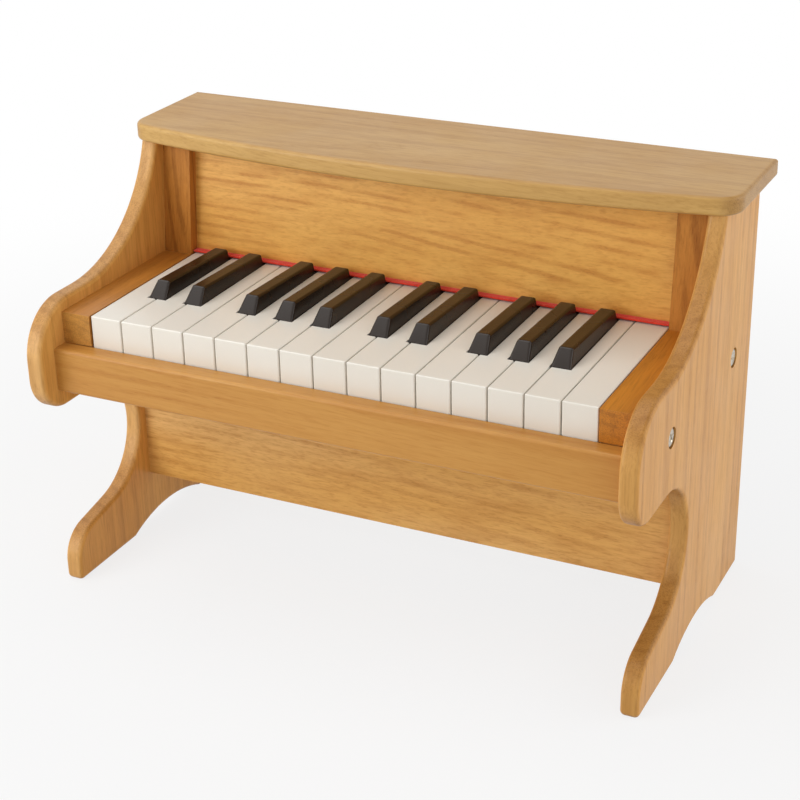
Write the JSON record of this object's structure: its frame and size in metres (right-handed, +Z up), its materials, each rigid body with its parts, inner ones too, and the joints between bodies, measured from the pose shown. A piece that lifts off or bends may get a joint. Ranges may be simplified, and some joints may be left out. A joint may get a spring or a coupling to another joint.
{
  "type": "toy piano",
  "caption": "Small wooden toy piano with curved sides, a bowed lid, white and black keys that turn on a rod, and hammers that strike steel tone rods.",
  "frame": {"origin": "on the floor, under the middle of the whole object's box", "axes": "+X along the keyboard to its right end seen by the player, +Y away from the player, +Z up"},
  "size_m": [0.426, 0.235, 0.287],
  "materials": {
    "wood_side": "satin lacquered honey wood, grain upright",
    "wood_lid": "satin lacquered honey wood, grain lengthwise",
    "wood_front": "satin lacquered honey wood, grain lengthwise",
    "wood_plain": "bare plywood",
    "hardboard": "brown hardboard",
    "white_plastic": "glossy ivory white",
    "black_plastic": "glossy black",
    "comb_plastic": "natural moulded plastic",
    "red_felt": "red felt",
    "grey_felt": "grey felt",
    "steel": "bright drawn steel",
    "zinc": "zinc plated",
    "cast_metal": "grey cast metal"
  },
  "bodies": {
    "case": {"left_side_panel": "wood_side", "right_side_panel": "wood_side", "lid": "wood_lid", "fallboard": "wood_front", "left_corner_batten": "wood_front", "right_corner_batten": "wood_front", "key_slip": "wood_front", "left_key_block": "wood_front", "right_key_block": "wood_front", "kick_panel": "wood_front", "key_bed": "wood_plain", "top_rail": "wood_plain", "back_panel": "hardboard", "pivot_comb": "comb_plastic", "fallboard_felt": "red_felt", "key_stop_felt": "grey_felt", "key_rest_felt": "grey_felt", "key_pivot_rod": "steel", "tone_rods": "steel", "return_spring": "steel", "case_bolts": "zinc", "barrel_nuts": "zinc", "back_screws": "zinc", "lid_screws": "zinc", "tone_block_screws": "zinc", "tone_block": "cast_metal"},
    "white_key_01_lever": {"white_key_01": "white_plastic"},
    "black_key_01_lever": {"black_key_01": "black_plastic"},
    "white_key_02_lever": {"white_key_02": "white_plastic"},
    "black_key_02_lever": {"black_key_02": "black_plastic"},
    "white_key_03_lever": {"white_key_03": "white_plastic"},
    "white_key_04_lever": {"white_key_04": "white_plastic"},
    "black_key_03_lever": {"black_key_03": "black_plastic"},
    "white_key_05_lever": {"white_key_05": "white_plastic"},
    "black_key_04_lever": {"black_key_04": "black_plastic"},
    "white_key_06_lever": {"white_key_06": "white_plastic"},
    "black_key_05_lever": {"black_key_05": "black_plastic"},
    "white_key_07_lever": {"white_key_07": "white_plastic"},
    "white_key_08_lever": {"white_key_08": "white_plastic"},
    "black_key_06_lever": {"black_key_06": "black_plastic"},
    "white_key_09_lever": {"white_key_09": "white_plastic"},
    "black_key_07_lever": {"black_key_07": "black_plastic"},
    "white_key_10_lever": {"white_key_10": "white_plastic"},
    "white_key_11_lever": {"white_key_11": "white_plastic"},
    "black_key_08_lever": {"black_key_08": "black_plastic"},
    "white_key_12_lever": {"white_key_12": "white_plastic"},
    "black_key_09_lever": {"black_key_09": "black_plastic"},
    "white_key_13_lever": {"white_key_13": "white_plastic"},
    "black_key_10_lever": {"black_key_10": "black_plastic"},
    "white_key_14_lever": {"white_key_14": "white_plastic"},
    "white_key_15_lever": {"white_key_15": "white_plastic"}
  },
  "joints": [
    {"name": "white_key_01_hinge", "type": "hinge", "parent": "case", "child": "white_key_01_lever", "pos_m": [0, 0.0505, 0.1894], "axis": [1, 0, 0], "range_deg": [0, 3.07], "stiffness_Nm_per_rad": 0.4, "springref_deg": -8.59, "deforming": ["return_spring"]},
    {"name": "black_key_01_hinge", "type": "hinge", "parent": "case", "child": "black_key_01_lever", "pos_m": [0, 0.0505, 0.1894], "axis": [1, 0, 0], "range_deg": [0, 3.07], "stiffness_Nm_per_rad": 0.4, "springref_deg": -8.59, "deforming": ["return_spring"]},
    {"name": "white_key_02_hinge", "type": "hinge", "parent": "case", "child": "white_key_02_lever", "pos_m": [0, 0.0505, 0.1894], "axis": [1, 0, 0], "range_deg": [0, 3.07], "stiffness_Nm_per_rad": 0.4, "springref_deg": -8.59, "deforming": ["return_spring"]},
    {"name": "black_key_02_hinge", "type": "hinge", "parent": "case", "child": "black_key_02_lever", "pos_m": [0, 0.0505, 0.1894], "axis": [1, 0, 0], "range_deg": [0, 3.07], "stiffness_Nm_per_rad": 0.4, "springref_deg": -8.59, "deforming": ["return_spring"]},
    {"name": "white_key_03_hinge", "type": "hinge", "parent": "case", "child": "white_key_03_lever", "pos_m": [0, 0.0505, 0.1894], "axis": [1, 0, 0], "range_deg": [0, 3.07], "stiffness_Nm_per_rad": 0.4, "springref_deg": -8.59, "deforming": ["return_spring"]},
    {"name": "white_key_04_hinge", "type": "hinge", "parent": "case", "child": "white_key_04_lever", "pos_m": [0, 0.0505, 0.1894], "axis": [1, 0, 0], "range_deg": [0, 3.07], "stiffness_Nm_per_rad": 0.4, "springref_deg": -8.59, "deforming": ["return_spring"]},
    {"name": "black_key_03_hinge", "type": "hinge", "parent": "case", "child": "black_key_03_lever", "pos_m": [0, 0.0505, 0.1894], "axis": [1, 0, 0], "range_deg": [0, 3.07], "stiffness_Nm_per_rad": 0.4, "springref_deg": -8.59, "deforming": ["return_spring"]},
    {"name": "white_key_05_hinge", "type": "hinge", "parent": "case", "child": "white_key_05_lever", "pos_m": [0, 0.0505, 0.1894], "axis": [1, 0, 0], "range_deg": [0, 3.07], "stiffness_Nm_per_rad": 0.4, "springref_deg": -8.59, "deforming": ["return_spring"]},
    {"name": "black_key_04_hinge", "type": "hinge", "parent": "case", "child": "black_key_04_lever", "pos_m": [0, 0.0505, 0.1894], "axis": [1, 0, 0], "range_deg": [0, 3.07], "stiffness_Nm_per_rad": 0.4, "springref_deg": -8.59, "deforming": ["return_spring"]},
    {"name": "white_key_06_hinge", "type": "hinge", "parent": "case", "child": "white_key_06_lever", "pos_m": [0, 0.0505, 0.1894], "axis": [1, 0, 0], "range_deg": [0, 3.07], "stiffness_Nm_per_rad": 0.4, "springref_deg": -8.59, "deforming": ["return_spring"]},
    {"name": "black_key_05_hinge", "type": "hinge", "parent": "case", "child": "black_key_05_lever", "pos_m": [0, 0.0505, 0.1894], "axis": [1, 0, 0], "range_deg": [0, 3.07], "stiffness_Nm_per_rad": 0.4, "springref_deg": -8.59, "deforming": ["return_spring"]},
    {"name": "white_key_07_hinge", "type": "hinge", "parent": "case", "child": "white_key_07_lever", "pos_m": [0, 0.0505, 0.1894], "axis": [1, 0, 0], "range_deg": [0, 3.07], "stiffness_Nm_per_rad": 0.4, "springref_deg": -8.59, "deforming": ["return_spring"]},
    {"name": "white_key_08_hinge", "type": "hinge", "parent": "case", "child": "white_key_08_lever", "pos_m": [0, 0.0505, 0.1894], "axis": [1, 0, 0], "range_deg": [0, 3.07], "stiffness_Nm_per_rad": 0.4, "springref_deg": -8.59, "deforming": ["return_spring"]},
    {"name": "black_key_06_hinge", "type": "hinge", "parent": "case", "child": "black_key_06_lever", "pos_m": [0, 0.0505, 0.1894], "axis": [1, 0, 0], "range_deg": [0, 3.07], "stiffness_Nm_per_rad": 0.4, "springref_deg": -8.59, "deforming": ["return_spring"]},
    {"name": "white_key_09_hinge", "type": "hinge", "parent": "case", "child": "white_key_09_lever", "pos_m": [0, 0.0505, 0.1894], "axis": [1, 0, 0], "range_deg": [0, 3.07], "stiffness_Nm_per_rad": 0.4, "springref_deg": -8.59, "deforming": ["return_spring"]},
    {"name": "black_key_07_hinge", "type": "hinge", "parent": "case", "child": "black_key_07_lever", "pos_m": [0, 0.0505, 0.1894], "axis": [1, 0, 0], "range_deg": [0, 3.07], "stiffness_Nm_per_rad": 0.4, "springref_deg": -8.59, "deforming": ["return_spring"]},
    {"name": "white_key_10_hinge", "type": "hinge", "parent": "case", "child": "white_key_10_lever", "pos_m": [0, 0.0505, 0.1894], "axis": [1, 0, 0], "range_deg": [0, 3.07], "stiffness_Nm_per_rad": 0.4, "springref_deg": -8.59, "deforming": ["return_spring"]},
    {"name": "white_key_11_hinge", "type": "hinge", "parent": "case", "child": "white_key_11_lever", "pos_m": [0, 0.0505, 0.1894], "axis": [1, 0, 0], "range_deg": [0, 3.07], "stiffness_Nm_per_rad": 0.4, "springref_deg": -8.59, "deforming": ["return_spring"]},
    {"name": "black_key_08_hinge", "type": "hinge", "parent": "case", "child": "black_key_08_lever", "pos_m": [0, 0.0505, 0.1894], "axis": [1, 0, 0], "range_deg": [0, 3.07], "stiffness_Nm_per_rad": 0.4, "springref_deg": -8.59, "deforming": ["return_spring"]},
    {"name": "white_key_12_hinge", "type": "hinge", "parent": "case", "child": "white_key_12_lever", "pos_m": [0, 0.0505, 0.1894], "axis": [1, 0, 0], "range_deg": [0, 3.07], "stiffness_Nm_per_rad": 0.4, "springref_deg": -8.59, "deforming": ["return_spring"]},
    {"name": "black_key_09_hinge", "type": "hinge", "parent": "case", "child": "black_key_09_lever", "pos_m": [0, 0.0505, 0.1894], "axis": [1, 0, 0], "range_deg": [0, 3.07], "stiffness_Nm_per_rad": 0.4, "springref_deg": -8.59, "deforming": ["return_spring"]},
    {"name": "white_key_13_hinge", "type": "hinge", "parent": "case", "child": "white_key_13_lever", "pos_m": [0, 0.0505, 0.1894], "axis": [1, 0, 0], "range_deg": [0, 3.07], "stiffness_Nm_per_rad": 0.4, "springref_deg": -8.59, "deforming": ["return_spring"]},
    {"name": "black_key_10_hinge", "type": "hinge", "parent": "case", "child": "black_key_10_lever", "pos_m": [0, 0.0505, 0.1894], "axis": [1, 0, 0], "range_deg": [0, 3.07], "stiffness_Nm_per_rad": 0.4, "springref_deg": -8.59, "deforming": ["return_spring"]},
    {"name": "white_key_14_hinge", "type": "hinge", "parent": "case", "child": "white_key_14_lever", "pos_m": [0, 0.0505, 0.1894], "axis": [1, 0, 0], "range_deg": [0, 3.07], "stiffness_Nm_per_rad": 0.4, "springref_deg": -8.59, "deforming": ["return_spring"]},
    {"name": "white_key_15_hinge", "type": "hinge", "parent": "case", "child": "white_key_15_lever", "pos_m": [0, 0.0505, 0.1894], "axis": [1, 0, 0], "range_deg": [0, 3.07], "stiffness_Nm_per_rad": 0.4, "springref_deg": -8.59, "deforming": ["return_spring"]}
  ]
}
